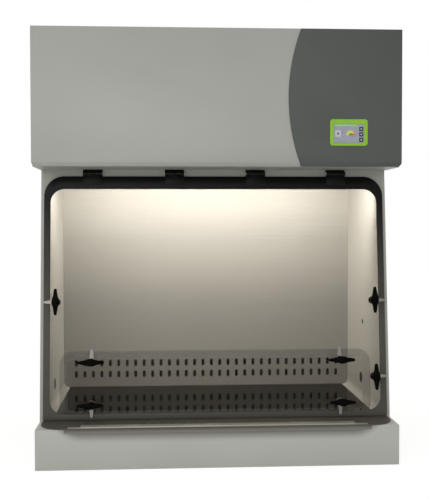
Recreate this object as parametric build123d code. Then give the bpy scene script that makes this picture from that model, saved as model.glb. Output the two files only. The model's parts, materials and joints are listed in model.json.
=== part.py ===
from build123d import *
import math
import os

# A bench-top biological safety cabinet, in millimetres.
# X runs along the width, the front faces -Y and Z is up. The origin is the middle of the footprint,
# on the surface that the cabinet stands on.

# Overall sizes
cabinet_width = 1080.0
total_depth = 790.0
base_height = 119.5
body_height = 770.5
hood_height = 405.0
front_lean = 6.25

# Sheet thicknesses
panel_sheet = 2.5
liner_sheet = 2.0
pan_sheet = 1.2
tray_sheet = 1.8

# Clearances
slip_gap = 0.3
cut_over = 1.0
drop_in_gap = 2.0
running_gap = 0.05

# Front sill, on the base
sill_depth = 115.0
sill_thickness = 3.0
sill_corner = 75.0
sill_nose_proud = 2.0
sill_nose_drop = 14.0
intake_slot_width = 8.0
intake_slot_length = 50.0
intake_slot_inset = 120.0
intake_slot_count = 29
intake_slot_setback = 45.0
rail_width = 28.0
rail_height = 4.5
rail_inset = 132.0
rail_tab_length = 37.0
rail_tab_width = 12.0
rail_tab_height = 2.0
rail_edge = 1.5

# Base box and drain pan
base_ledge = 60.0
pan_rim = 18.0
pan_ground_gap = 40.7
drain_radius = 14.0
drain_plug_head = 20.0
drain_inset = 90.0

# Work chamber
wall_thickness = 15.0
rear_duct_depth = 110.5
baffle_sheet = 2.0
baffle_top_gap = 20.0
cove_radius = 21.0
slot_columns = 32
slot_rows = 2
slot_side_gap = 44.5
slot_row_pitch = 41.0
slot_width = 11.0
slot_length = 25.0
first_slot_row = 48.0
port_radius = 18.0
small_port_radius = 8.0
port_proud = 1.0
port_height = 66.5
small_port_height = 262.5
right_port_setback = 336.0
small_port_setback = 317.0
left_port_setback = 272.0

# Strip above the window
hinge_strip = 22.0
strip_overlap = 8.0
seam_inset = 90.0
seam_width = 1.5
seam_depth = 0.8

# Window frame, pane and closure panel
frame_margin = 10.0
frame_side = 20.0
frame_top = 40.0
frame_bottom = 18.0
frame_thickness = 8.0
frame_outer_corner = 62.0
frame_lower_corner = 5.0
frame_inner_corner = 43.0
window_foot_gap = 1.0
pane_thickness = 5.0
pane_lap = 13.0
closure_side_gap = 49.0
closure_height = 206.0
closure_foot = 5.5
closure_thickness = 5.0
closure_corner = 40.0
gasket_width = 25.0
gasket_thickness = 3.0

# Window hinges
hinge_count = 4
hinge_end_inset = 159.0
hinge_width = 60.0
hinge_leaf = 3.5
hinge_barrel = 6.5
hinge_pin = 2.5
hinge_pin_head = 4.0
hinge_head_thickness = 1.5
hinge_rise = 8.0
hinge_proud = 6.5
hinge_leaf_drop = 26.0
hinge_middle = 22.0
hinge_side_gap = 0.5

# Wing latches
wing_length = 80.0
wing_tip = 5.5
wing_root = 9.0
wing_depth = 14.0
wing_standoff = 38.0
wing_edge = 1.5
hub_radius = 12.0
hub_foot = 9.0
dome_height = 4.0
stud_radius = 4.0
stud_washer = 8.0
stud_washer_thickness = 2.0
bush_radius = 6.0
bush_flange = 11.0
bush_tail = 1.5
tongue_reach = 40.0
tongue_root = 8.0
tongue_tip = 3.5
tongue_thickness = 2.5
side_latch_inset = 21.0
side_latch_height = 363.0
side_latch_low = 127.0
closure_latch_inset = 98.0
closure_latch_top = 32.0
closure_latch_foot = 45.0

# Hood
hood_overhang = 6.0
hood_setback = 15.5
front_panel_depth = 26.0
fold_height = 12.0
fold_depth = 7.0
hood_corner = 12.0
cover_proud = 2.5
cover_width = 302.0
cover_bulge = 37.0
bezel_width = 113.0
bezel_height = 79.0
bezel_thickness = 3.0
bezel_corner = 9.0
bezel_from_side = 159.5
bezel_centre_height = 100.5
screen_width = 90.0
screen_height = 55.0
screen_drop = 3.0
screen_thickness = 12.0
screen_lip = 1.0

# Filters, plenum and lamp
filter_wall = 15.0
filter_height = 50.0
filter_flange = 12.0
filter_flange_sheet = 5.0
filter_front_gap = 65.5
filter_rear_gap = 8.0
filter_side_gap = 28.0
media_recess = 4.0
pleat_count = 12
pleat_depth = 6.0
diffuser_sheet = 2.0
diffuser_slot_count = 24
diffuser_slot_width = 10.0
diffuser_border = 25.0
plenum_sheet = 2.0
exhaust_side_gap = 197.0
exhaust_edge_gap = 41.0
exhaust_height = 90.0
guard_sheet = 2.0
guard_margin = 30.0
guard_slots = 14
guard_slot_width = 18.0
lamp_end_gap = 75.0
lamp_radius = 8.0
lamp_body_width = 34.0
lamp_body_height = 18.0
lamp_setback = 22.0
lamp_socket = 12.0
lamp_drop = 28.0

# Fan
fan_headroom = 46.5
fan_blade_depth = 39.0
fan_width = 64.0
fan_hub = 20.0
fan_blades = 11
fan_blade_sheet = 3.0
fan_blade_arc = 88.0
fan_plate = 2.0
fan_clearance = 12.0
scroll_growth = 18.0
scroll_sheet = 2.0
shaft_radius = 6.0
motor_radius = 58.0
motor_length = 84.0
motor_boss = 26.0
motor_boss_length = 4.0

# Electronics and rear panel
tray_width = 380.0
tray_depth = 130.0
tray_lip = 12.0
board_size = 150.0
board_sheet = 2.0
standoff_height = 8.0
standoff_radius = 4.0
supply_size = 110.0
supply_tall = 55.0
inlet_width = 50.0
inlet_height = 30.0
inlet_depth = 30.0
inlet_flange = 5.0
inlet_wall = 3.0
inlet_from_side = 120.0
inlet_above_hood = 70.0
screw_width = 8.0
screw_head = 2.0
screw_inset = 40.0
screw_rows = 4
screw_columns = 3

# Levels and faces worked out from the sizes above
half_width = cabinet_width / 2
front_y = -total_depth / 2
rear_y = total_depth / 2
base_front = front_y + sill_nose_proud
chamber_front = front_y + sill_depth
liner_x = half_width - wall_thickness
floor_level = base_height + sill_thickness
hood_bottom = base_height + body_height
hood_top = hood_bottom + hood_height
hood_half = half_width + hood_overhang
hood_front = front_y + hood_setback
shell_front = hood_front + front_panel_depth
rear_face = rear_y - screw_head
rear_inner = rear_face - panel_sheet
baffle_y = rear_inner - rear_duct_depth
lean = math.radians(front_lean)
strip_top = body_height / math.cos(lean)
strip_back = chamber_front + body_height * math.tan(lean)
frame_foot = (sill_thickness + window_foot_gap) / math.cos(lean)
frame_head = strip_top - hinge_strip
frame_half = half_width - frame_margin
frame_back = slip_gap
frame_face = frame_back + frame_thickness
pane_face = frame_back + pane_thickness
hinge_v = frame_head + hinge_rise
hinge_w = frame_face + hinge_proud
closure_face = frame_back - gasket_thickness
closure_back = closure_face - closure_thickness
closure_half = frame_half - closure_side_gap
lamp_half = liner_x - lamp_end_gap
tongue_back = frame_face + slip_gap
filter_bottom = hood_bottom + panel_sheet + filter_flange_sheet - filter_height
filter_front = round(strip_back + filter_front_gap)
filter_rear = baffle_y - filter_rear_gap
filter_half = liner_x - filter_side_gap
plenum_bottom = hood_bottom + panel_sheet + filter_flange_sheet
plenum_top = hood_top - panel_sheet - exhaust_height - drop_in_gap
fan_y_rear = filter_rear - plenum_sheet
fan_centre_z = (plenum_bottom + plenum_top) / 2
fan_radius = (plenum_top - plenum_bottom) / 2 - fan_headroom
fan_eye = fan_radius - fan_blade_depth
scroll_depth = fan_width + 2 * (fan_clearance + scroll_sheet)

# The plane that the window closes on: X along the width, Y up the slope, Z outwards
window_plane = Plane(
    origin=(0, chamber_front, base_height),
    x_dir=(1, 0, 0),
    z_dir=(0, -math.cos(lean), math.sin(lean)),
)


# Shared shapes

def block(x_span, y_span, z_span):
    """A box between two X, two Y and two Z values."""
    size = [high - low for low, high in (x_span, y_span, z_span)]
    centre = [(low + high) / 2 for low, high in (x_span, y_span, z_span)]
    return Pos(*centre) * Box(*size)


def side_profile(points, x_span):
    """A solid with an outline of (y, z) points, between two X values."""
    outline = Plane.YZ.offset(x_span[0]) * make_face(Polyline(*points, close=True))
    return extrude(outline, amount=x_span[1] - x_span[0])


def slab(sketch, low, high):
    """A flat piece on the window plane, between two distances outwards from it."""
    return extrude(window_plane * (Pos(0, 0, low) * sketch), amount=high - low)


def rod(radius, low, high, u, v):
    """A round rod square to the window plane."""
    return window_plane * (Pos(u, v, (low + high) / 2) * Cylinder(radius, high - low))


def rod_y(radius, x, z, y_span):
    """A round rod along Y."""
    length = y_span[1] - y_span[0]
    return Pos(x, y_span[0] + length / 2, z) * (Rot(90, 0, 0) * Cylinder(radius, length))


def front_at(height):
    """Where the window plane lies, in Y, at a height above the floor that the cabinet stands on."""
    return chamber_front + (height - base_height) * math.tan(lean)


# Base

def base_shell():
    outer = block((-half_width, half_width), (base_front, rear_y), (0, base_height))
    front_edges = outer.edges().filter_by(Axis.Z).group_by(Axis.Y)[0]
    outer = fillet(front_edges, panel_sheet)
    inner = block(
        (-half_width + panel_sheet, half_width - panel_sheet),
        (base_front + panel_sheet, rear_y - panel_sheet),
        (panel_sheet, base_height - panel_sheet),
    )
    through = (base_height - 2 * panel_sheet, base_height + panel_sheet)
    ledge_x = half_width - base_ledge
    pan_hole = block((-ledge_x, ledge_x), (chamber_front + pan_rim, baffle_y - pan_rim), through)
    intake = intake_y_span()
    intake_hole = block((-ledge_x, ledge_x), intake, through)
    duct_hole = block((-ledge_x, ledge_x), (baffle_y + pan_rim, rear_inner - pan_rim), through)
    return outer - inner - pan_hole - intake_hole - duct_hole


def intake_y_span():
    low = front_y + intake_slot_setback
    return (low, low + intake_slot_length)


def front_sill():
    half = frame_half
    depth = chamber_front - front_y
    outline = Pos(0, front_y + depth / 2) * Rectangle(2 * half, depth)
    outline = fillet(outline.vertices().group_by(Axis.Y)[0], sill_corner)
    plate = extrude(Pos(0, 0, base_height) * outline, amount=sill_thickness)
    nose_half = half - sill_corner
    nose = block((-nose_half, nose_half), (front_y, base_front), (floor_level - sill_nose_drop, floor_level))
    sill = plate + nose
    pitch = 2 * (half_width - intake_slot_inset) / (intake_slot_count - 1)
    slots = Pos(0, sum(intake_y_span()) / 2) * GridLocations(pitch, 1, intake_slot_count, 1)
    cut = [spot * Rectangle(intake_slot_width, intake_slot_length) for spot in slots]
    return sill - extrude(Pos(0, 0, base_height - cut_over) * Sketch(children=cut), amount=sill_thickness + 2)


def armrest_rail():
    half = half_width - rail_inset
    back = base_front + rail_width
    bar = block((-half, half), (base_front, back), (floor_level, floor_level + rail_height))
    bar = fillet(bar.edges().group_by(Axis.Z)[-1].filter_by(Axis.X), rail_edge)
    for side in (-1, 1):
        ends = sorted((side * half, side * (half + rail_tab_length)))
        bar += block(ends, (base_front, base_front + rail_tab_width), (floor_level, floor_level + rail_tab_height))
    return bar


def drain_pan():
    half = half_width - base_ledge - drop_in_gap
    y_span = (chamber_front + pan_rim + drop_in_gap, baffle_y - pan_rim - drop_in_gap)
    top = base_height + pan_sheet
    bowl = block((-half, half), y_span, (pan_ground_gap, top))
    inside = block(
        (-half + pan_sheet, half - pan_sheet),
        (y_span[0] + pan_sheet, y_span[1] - pan_sheet),
        (pan_ground_gap + pan_sheet, top + cut_over),
    )
    rim = block((-tray_half(), tray_half()), tray_y_span(), (base_height, top))
    drain = Pos(drain_x(), drain_y(), pan_ground_gap) * Cylinder(drain_radius, 4 * pan_sheet)
    return bowl + rim - inside - drain


def drain_x():
    return half_width - base_ledge - drain_inset


def drain_y():
    return chamber_front + drain_inset


def drain_plug():
    seat = pan_ground_gap + pan_sheet
    head = Pos(0, 0, seat) * Cylinder(drain_plug_head, 4, align=(Align.CENTER, Align.CENTER, Align.MIN))
    stem = Pos(0, 0, seat - 8) * Cylinder(drain_radius - slip_gap, 8, align=(Align.CENTER, Align.CENTER, Align.MIN))
    grip = Pos(0, 0, seat + 7) * Box(drain_plug_head, 4, 8)
    return Pos(drain_x(), drain_y(), 0) * (head + stem + grip)


def tray_half():
    return liner_x - cove_radius - drop_in_gap


def tray_y_span():
    return (chamber_front + slip_gap, baffle_y - slip_gap)


def work_tray():
    level = base_height + pan_sheet
    tray = block((-tray_half(), tray_half()), tray_y_span(), (level, level + tray_sheet))
    return fillet(tray.edges().filter_by(Axis.Z), 5)


# Window section

def side_panel(side):
    back = rear_inner
    outline = [
        (front_at(base_height), base_height),
        (back, base_height),
        (back, hood_bottom),
        (front_at(hood_bottom), hood_bottom),
    ]
    inset = panel_sheet / math.cos(lean)
    hollow = [
        (front_at(base_height + panel_sheet) + inset, base_height + panel_sheet),
        (back - panel_sheet, base_height + panel_sheet),
        (back - panel_sheet, hood_bottom - panel_sheet),
        (front_at(hood_bottom - panel_sheet) + inset, hood_bottom - panel_sheet),
    ]
    inner_face = liner_x + liner_sheet
    shell = side_profile(outline, (inner_face, half_width))
    shell -= side_profile(hollow, (inner_face - cut_over, half_width - panel_sheet))
    return shell if side > 0 else mirror(shell, about=Plane.YZ)


def window_fascia():
    """Sheet above the window, with rounded corners that the frame laps over and two upright seams."""
    half = liner_x + liner_sheet - slip_gap
    leg_foot = frame_head - strip_overlap - frame_outer_corner
    sheet = Pos(0, (leg_foot + strip_top) / 2) * Rectangle(2 * half, strip_top - leg_foot)
    sheet -= rounded_frame(
        frame_half - strip_overlap,
        frame_foot,
        frame_head - strip_overlap,
        frame_outer_corner - strip_overlap,
        frame_lower_corner,
    )
    fascia = slab(sheet, -panel_sheet, 0)
    for u in (seam_inset - half_width, half_width - seam_inset):
        groove = Pos(u, strip_top) * Rectangle(seam_width, 4 * hinge_strip)
        fascia -= slab(groove, -seam_depth, 1)
    return fascia


def side_liner(side):
    """Stainless wall with a coved foot that turns in towards the tray."""
    foot = base_height
    inner = liner_x
    outer = liner_x + liner_sheet
    centre = (inner - cove_radius, foot + liner_sheet + cove_radius)
    edge = inner - cove_radius - slip_gap
    bow = math.sqrt(0.5)
    reach = cove_radius + liner_sheet
    with BuildSketch(Plane.XZ) as section:
        with BuildLine():
            Line((inner, hood_bottom), (inner, centre[1]))
            ThreePointArc(
                (inner, centre[1]),
                (centre[0] + cove_radius * bow, centre[1] - cove_radius * bow),
                (centre[0], centre[1] - cove_radius),
            )
            Line((centre[0], centre[1] - cove_radius), (edge, centre[1] - cove_radius))
            Line((edge, centre[1] - cove_radius), (edge, foot))
            Line((edge, foot), (centre[0], foot))
            ThreePointArc((centre[0], foot), (centre[0] + reach * bow, centre[1] - reach * bow), (outer, centre[1]))
            Line((outer, centre[1]), (outer, hood_bottom))
            Line((outer, hood_bottom), (inner, hood_bottom))
        make_face()
    wall = extrude(section.sketch, amount=-(baffle_y - front_y))
    wall = Pos(0, front_y, 0) * wall
    lap = panel_sheet / math.cos(lean)
    keep = side_profile(
        [
            (front_at(base_height - cut_over) + lap, base_height - cut_over),
            (baffle_y, base_height - cut_over),
            (baffle_y, hood_bottom + cut_over),
            (front_at(hood_bottom + cut_over) + lap, hood_bottom + cut_over),
        ],
        (edge - cut_over, outer + cut_over),
    )
    wall = wall & keep
    for radius, y, z in ports(side):
        wall -= Pos(liner_x, y, z) * (Rot(0, 90, 0) * Cylinder(radius + slip_gap, 6 * liner_sheet))
    return wall if side > 0 else mirror(wall, about=Plane.YZ)


def ports(side):
    if side > 0:
        return [
            (port_radius, chamber_front + right_port_setback, base_height + port_height),
            (small_port_radius, chamber_front + small_port_setback, base_height + small_port_height),
        ]
    return [(port_radius, chamber_front + left_port_setback, base_height + port_height)]


def port_plugs():
    plugs = []
    for side in (-1, 1):
        for radius, y, z in ports(side):
            near = liner_x - port_proud
            far = half_width - panel_sheet
            plug = Pos((near + far) / 2, y, z) * (Rot(0, 90, 0) * Cylinder(radius, far - near))
            plugs.append(plug if side > 0 else mirror(plug, about=Plane.YZ))
    return Compound(children=plugs)


def rear_baffle():
    wall_x = liner_x + liner_sheet
    top = hood_bottom - baffle_top_gap
    plate = block((-wall_x, wall_x), (baffle_y, baffle_y + baffle_sheet), (base_height, top))
    row_z = base_height + first_slot_row + slot_row_pitch * (slot_rows - 1) / 2
    pitch = 2 * (liner_x - slot_side_gap) / (slot_columns - 1)
    spots = Pos(0, row_z) * GridLocations(pitch, slot_row_pitch, slot_columns, slot_rows)
    slots = [spot * SlotOverall(slot_length, slot_width, rotation=90) for spot in spots]
    cut = extrude(Plane.XZ.offset(-baffle_y + cut_over) * Sketch(children=slots), amount=-baffle_sheet - 2)
    return plate - cut


def rear_panel():
    plate = block((-half_width, half_width), (rear_inner, rear_face), (base_height, hood_bottom))
    plate += block((-hood_half, hood_half), (rear_inner, rear_face), (hood_bottom, hood_top))
    x, z = inlet_place()
    half_w = inlet_width / 2 - inlet_flange
    half_h = inlet_height / 2 - inlet_flange
    return plate - block((x - half_w, x + half_w), (rear_inner - cut_over, rear_y), (z - half_h, z + half_h))


def inlet_place():
    return (hood_half - inlet_from_side, hood_bottom + inlet_above_hood)


def power_inlet():
    """Flanged socket that sits in the rear panel's cut-out."""
    x, z = inlet_place()
    half_w = inlet_width / 2 - inlet_flange - slip_gap
    half_h = inlet_height / 2 - inlet_flange - slip_gap
    body = block((x - half_w, x + half_w), (rear_y - inlet_depth, rear_face), (z - half_h, z + half_h))
    flange = block(
        (x - inlet_width / 2, x + inlet_width / 2),
        (rear_face, rear_y),
        (z - inlet_height / 2, z + inlet_height / 2),
    )
    socket = block(
        (x - half_w + inlet_wall, x + half_w - inlet_wall),
        (rear_y - inlet_depth + inlet_wall, rear_y + cut_over),
        (z - half_h + inlet_wall, z + half_h - inlet_wall),
    )
    return body + flange - socket


def rear_screws():
    """Hexagon screw heads in rows on the rear panel."""
    span_x = 2 * (half_width - screw_inset)
    span_z = hood_bottom - base_height - 2 * screw_inset
    middle = (hood_bottom + base_height) / 2
    spots = GridLocations(span_x / (screw_columns - 1), span_z / (screw_rows - 1), screw_columns, screw_rows)
    head = extrude(RegularPolygon(screw_width / 2, 6), amount=screw_head)
    heads = [Plane.XZ.offset(-rear_y) * (Pos(0, middle) * spot * head) for spot in spots]
    return Compound(children=heads)


# Hinged window

def rounded_frame(half, low, high, upper_corner, lower_corner):
    """A rectangle on the window plane with its own upper and lower corner radii."""
    outline = Pos(0, (low + high) / 2) * Rectangle(2 * half, high - low)
    rows = outline.vertices().group_by(Axis.Y)
    outline = fillet(rows[-1], upper_corner)
    return fillet(outline.vertices().group_by(Axis.Y)[0:1][0], lower_corner)


def frame_opening(extra):
    """The window frame's clear opening, grown by a margin all round."""
    return rounded_frame(
        frame_half - frame_side + extra,
        frame_foot + frame_bottom - extra,
        frame_head - frame_top + extra,
        frame_inner_corner + extra,
        frame_inner_corner + extra,
    )


def window_frame():
    outer = rounded_frame(frame_half, frame_foot, frame_head, frame_outer_corner, frame_lower_corner)
    ring = slab(outer, frame_back, frame_face)
    ring -= slab(frame_opening(0), frame_back - cut_over, frame_face + cut_over)
    return ring - slab(frame_opening(pane_lap), frame_back - cut_over, pane_face)


def closure_span():
    return (closure_foot / math.cos(lean), closure_foot / math.cos(lean) + closure_height)


def closure_outline(inset):
    low, high = closure_span()
    corner = closure_corner - inset
    return rounded_frame(closure_half - inset, low + inset, high - inset, corner, corner)


def window_pane():
    pane = slab(frame_opening(pane_lap - slip_gap), frame_back, pane_face)
    pane -= slab(closure_outline(gasket_width), frame_back - cut_over, pane_face + cut_over)
    for u, v in side_latches().values():
        pane -= rod(bush_radius + running_gap, frame_back - cut_over, pane_face + cut_over, u, v)
    return pane


def closure_panel():
    panel = slab(closure_outline(0), closure_back, closure_face)
    for u, v in closure_latches().values():
        panel -= rod(bush_radius + running_gap, closure_back - cut_over, closure_face + cut_over, u, v)
    return panel


def closure_gasket():
    ring = closure_outline(0) - closure_outline(gasket_width)
    return slab(ring, closure_face, frame_back)


# Wing latches

def side_latches():
    """Latches on the pane's upright edges, as places on the window plane."""
    u = frame_half - frame_side - side_latch_inset
    return {
        "left": (-u, side_latch_height),
        "right_upper": (u, side_latch_height),
        "right_lower": (u, side_latch_low),
    }


def closure_latches():
    """Latches near the closure panel's corners, as places on the window plane."""
    u = closure_half - closure_latch_inset
    low, high = closure_span()
    return {
        "cover_top_left": (-u, high - closure_latch_top),
        "cover_top_right": (u, high - closure_latch_top),
        "cover_foot_left": (-u, low + closure_latch_foot),
        "cover_foot_right": (u, low + closure_latch_foot),
    }


LATCH_TURN = {
    "left": 90,
    "right_upper": -90,
    "right_lower": -90,
    "cover_top_left": 0,
    "cover_top_right": 0,
    "cover_foot_left": 180,
    "cover_foot_right": 180,
}


def latch_places():
    return {**side_latches(), **closure_latches()}


def bush_end(name):
    """How far in a latch's bush reaches, on the pane or through the closure panel."""
    back = closure_back if name in closure_latches() else frame_back
    return back - bush_tail


def latch_bushes():
    bushes = []
    for name, (u, v) in latch_places().items():
        bush = rod(bush_radius, bush_end(name), pane_face, u, v)
        bush += rod(bush_flange, pane_face, frame_face, u, v)
        bore = rod(stud_radius + running_gap, bush_end(name) - cut_over, frame_face + cut_over, u, v)
        bushes.append(bush - bore)
    return Compound(children=bushes)


def on_latch(name, shape):
    """A piece drawn about its own pivot with the tongue pointing up the slope, put in its place."""
    u, v = latch_places()[name]
    return window_plane * (Pos(u, v, 0) * (Rot(0, 0, LATCH_TURN[name]) * shape))


def latch_tongue(name):
    root = Circle(tongue_root + stud_radius)
    tip = Pos(0, tongue_reach - tongue_tip) * Circle(tongue_tip)
    taper = make_face(Polyline(
        (-tongue_root, 0),
        (-tongue_tip, tongue_reach - tongue_tip),
        (tongue_tip, tongue_reach - tongue_tip),
        (tongue_root, 0),
        close=True,
    ))
    outline = root + taper + tip - Circle(stud_radius + running_gap)
    return on_latch(name, extrude(Pos(0, 0, tongue_back) * outline, amount=tongue_thickness))


def latch_wing(name):
    """Moulded wing bar on a waisted hub, with the stud and the washer that hold it in its bush."""
    seat = tongue_back + tongue_thickness
    bar_low = pane_face + wing_standoff
    bar_high = bar_low + wing_depth
    arm = wing_length / 2 - wing_tip
    bar = make_face(Polyline(
        (-arm, wing_tip), (0, wing_root), (arm, wing_tip), (arm, -wing_tip), (0, -wing_root), (-arm, -wing_tip),
        close=True,
    ))
    outline = bar + Pos(-arm, 0) * Circle(wing_tip) + Pos(arm, 0) * Circle(wing_tip) + Circle(hub_radius)
    wing = extrude(Pos(0, 0, bar_low) * outline, amount=wing_depth)
    wing = chamfer(wing.faces().sort_by(Axis.Z)[-1].edges(), wing_edge)
    wing += Pos(0, 0, (seat + bar_low) / 2) * Cone(hub_foot, hub_radius, bar_low - seat)
    wing += Pos(0, 0, bar_high + dome_height / 2) * Cone(hub_radius - wing_edge, hub_foot / 2, dome_height)
    end = bush_end(name) - slip_gap - stud_washer_thickness
    wing += Pos(0, 0, (end + seat) / 2) * Cylinder(stud_radius, seat - end)
    wing += Pos(0, 0, end + stud_washer_thickness / 2) * Cylinder(stud_washer, stud_washer_thickness)
    return on_latch(name, wing)


# Window hinges

def hinge_centres():
    first = hinge_end_inset - half_width
    pitch = -2 * first / (hinge_count - 1)
    return [first + pitch * index for index in range(hinge_count)]


def hinge_block(u_span, v_span, w_span):
    return window_plane * block(u_span, v_span, w_span)


def barrel(radius, u_span):
    length = u_span[1] - u_span[0]
    rod_shape = Pos(u_span[0] + length / 2, hinge_v, hinge_w) * (Rot(0, 90, 0) * Cylinder(radius, length))
    return window_plane * rod_shape


def hinge_knuckles(centre):
    """The X spans of the two outer knuckles of one hinge."""
    half = hinge_width / 2
    inner = hinge_middle / 2 + hinge_side_gap
    return [(centre - half, centre - inner), (centre + inner, centre + half)]


def hinge_fixed_leaf(centre):
    """Leaf on the strip above the window, with two outer knuckles."""
    half = hinge_width / 2
    low = frame_head + hinge_side_gap
    high = strip_top - hinge_leaf * math.tan(lean) - slip_gap
    leaf = hinge_block((centre - half, centre + half), (low, high), (0, hinge_leaf))
    for span in hinge_knuckles(centre):
        leaf += barrel(hinge_barrel, span)
        leaf += hinge_block(span, (hinge_v, hinge_v + hinge_barrel), (hinge_leaf / 2, hinge_w))
    return leaf - barrel(hinge_pin + running_gap, (centre - half - cut_over, centre + half + cut_over))


def hinge_window_leaf(centre):
    """Leaf on the window frame, with one middle knuckle."""
    half = hinge_width / 2
    middle = (centre - hinge_middle / 2, centre + hinge_middle / 2)
    top = frame_head - slip_gap
    low = top - hinge_leaf_drop
    leaf = hinge_block((centre - half, centre + half), (low, top), (frame_face, frame_face + hinge_leaf))
    leaf += hinge_block(middle, (low, hinge_v), (frame_face, frame_face + hinge_leaf))
    leaf += barrel(hinge_barrel, middle)
    return leaf - barrel(hinge_pin + running_gap, (middle[0] - 1, middle[1] + 1))


def hinge_pins():
    pins = []
    for centre in hinge_centres():
        half = hinge_width / 2
        pin = barrel(hinge_pin, (centre - half, centre + half))
        pin += barrel(hinge_pin_head, (centre - half - hinge_head_thickness, centre - half))
        pins.append(pin + barrel(hinge_pin_head, (centre + half, centre + half + hinge_head_thickness)))
    return Compound(children=pins)


# Hood

def hood_shell():
    outer = block((-hood_half, hood_half), (shell_front, rear_inner), (hood_bottom, hood_top))
    inner = block(
        (-hood_half + panel_sheet, hood_half - panel_sheet),
        (shell_front - cut_over, rear_inner + cut_over),
        (hood_bottom + panel_sheet, hood_top - panel_sheet),
    )
    low = (hood_bottom - cut_over, hood_bottom + panel_sheet + cut_over)
    supply = block(
        (-filter_half - drop_in_gap, filter_half + drop_in_gap),
        (filter_front - drop_in_gap, filter_rear + drop_in_gap),
        low,
    )
    duct = block((-filter_half, filter_half), (baffle_y + pan_rim, rear_inner - pan_rim), low)
    vent_x, vent_y = exhaust_spans(-filter_wall)
    vent = block(vent_x, vent_y, (hood_top - panel_sheet - cut_over, hood_top + cut_over))
    return outer - inner - supply - duct - vent


def front_profile(grow):
    """Side outline of the hood's front, with its folded lower edge, grown outwards by a margin."""
    face = hood_front - grow
    return [
        (shell_front, hood_bottom),
        (face + fold_depth, hood_bottom),
        (face, hood_bottom + fold_height),
        (face, hood_top),
        (shell_front, hood_top),
    ]


def front_blank(grow):
    """The hood's front as a solid, with its lower side corners rounded."""
    blank = side_profile(front_profile(grow), (-hood_half, hood_half))
    lower = blank.edges().filter_by(Axis.Y).group_by(Axis.Z)[0]
    return fillet(lower, hood_corner)


def front_hollow():
    sheet = panel_sheet
    inside = [
        (shell_front + cut_over, hood_bottom + sheet),
        (hood_front + fold_depth + sheet, hood_bottom + sheet),
        (hood_front + sheet, hood_bottom + fold_height + sheet),
        (hood_front + sheet, hood_top - sheet),
        (shell_front + cut_over, hood_top - sheet),
    ]
    blank = side_profile(inside, (-hood_half + sheet, hood_half - sheet))
    lower = blank.edges().filter_by(Axis.Y).group_by(Axis.Z)[0]
    return fillet(lower, hood_corner - sheet)


def display_cutout(low_y, high_y):
    """The opening that the screen's body goes through."""
    x, z = screen_centre()
    half_w = screen_width / 2 + slip_gap
    half_h = screen_height / 2 + slip_gap
    return block((x - half_w, x + half_w), (low_y, high_y), (z - half_h, z + half_h))


def bezel_centre():
    return (hood_half - bezel_from_side, hood_bottom + bezel_centre_height)


def screen_centre():
    x, z = bezel_centre()
    return (x, z - screen_drop)


def hood_front_panel():
    return front_blank(0) - front_hollow() - display_cutout(hood_front - cut_over, shell_front)


def control_panel_cover():
    """Dark cover over the right of the hood's front, with an arched left edge."""
    middle = (hood_bottom + hood_top) / 2
    edge = hood_half - cover_width
    with BuildSketch(Plane.XZ.offset(-shell_front)) as outline:
        with BuildLine():
            ThreePointArc((edge, hood_top), (edge - cover_bulge, middle), (edge, hood_bottom))
            Line((edge, hood_bottom), (hood_half, hood_bottom))
            Line((hood_half, hood_bottom), (hood_half, hood_top))
            Line((hood_half, hood_top), (edge, hood_top))
        make_face()
    reach = extrude(outline.sketch, amount=front_panel_depth + 2 * cover_proud)
    skin = front_blank(cover_proud) - front_blank(0)
    return (skin & reach) - display_cutout(hood_front - cover_proud - cut_over, hood_front + cut_over)


def display_bezel():
    x, z = bezel_centre()
    sx, sz = screen_centre()
    face = Plane.XZ.offset(-(hood_front - cover_proud))
    ring = Pos(x, z) * RectangleRounded(bezel_width, bezel_height, bezel_corner)
    ring -= Pos(sx, sz) * Rectangle(screen_width + 2 * slip_gap, screen_height + 2 * slip_gap)
    bezel = extrude(face * ring, amount=bezel_thickness)
    return chamfer(bezel.faces().sort_by(Axis.Y)[0].outer_wire().edges(), bezel_thickness / 2)


def display_screen():
    x, z = screen_centre()
    front = hood_front - cover_proud - bezel_thickness + screen_lip
    half_w = screen_width / 2
    half_h = screen_height / 2
    return block((x - half_w, x + half_w), (front, front + screen_thickness), (z - half_h, z + half_h))


def exhaust_spans(grow):
    """The exhaust filter's X and Y spans, centred over the supply filter and grown by a margin."""
    half = filter_half - exhaust_side_gap + grow
    return (-half, half), (filter_front + exhaust_edge_gap - grow, filter_rear - exhaust_edge_gap + grow)


def exhaust_guard():
    x_span, y_span = exhaust_spans(guard_margin)
    plate = block(x_span, y_span, (hood_top, hood_top + guard_sheet))
    pitch = (x_span[1] - x_span[0] - 2 * guard_margin) / guard_slots
    slot = Box(guard_slot_width, y_span[1] - y_span[0] - 4 * guard_margin, 4 * guard_sheet)
    spots = Pos(0, sum(y_span) / 2, hood_top) * GridLocations(pitch, 1, guard_slots, 1)
    return plate - [spot * slot for spot in spots]


# Filters, diffuser, plenum and lamp

def supply_filter():
    x_span, y_span = (-filter_half, filter_half), (filter_front, filter_rear)
    return filter_frame(x_span, y_span, filter_bottom, plenum_bottom) + filter_collar(x_span, y_span)


def filter_collar(x_span, y_span):
    """Flange that the supply filter hangs by on the hood's floor."""
    grow = filter_flange
    plate = block(
        (x_span[0] - grow, x_span[1] + grow),
        (y_span[0] - grow, y_span[1] + filter_rear_gap),
        (plenum_bottom - filter_flange_sheet, plenum_bottom),
    )
    wall = filter_wall
    hole = block(
        (x_span[0] + wall, x_span[1] - wall),
        (y_span[0] + wall, y_span[1] - wall),
        (plenum_bottom - filter_flange_sheet - cut_over, plenum_bottom + cut_over),
    )
    return plate - hole


def filter_frame(x_span, y_span, low, high):
    wall = filter_wall
    frame = block(x_span, y_span, (low, high))
    return frame - block(
        (x_span[0] + wall, x_span[1] - wall),
        (y_span[0] + wall, y_span[1] - wall),
        (low - cut_over, high + cut_over),
    )


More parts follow.
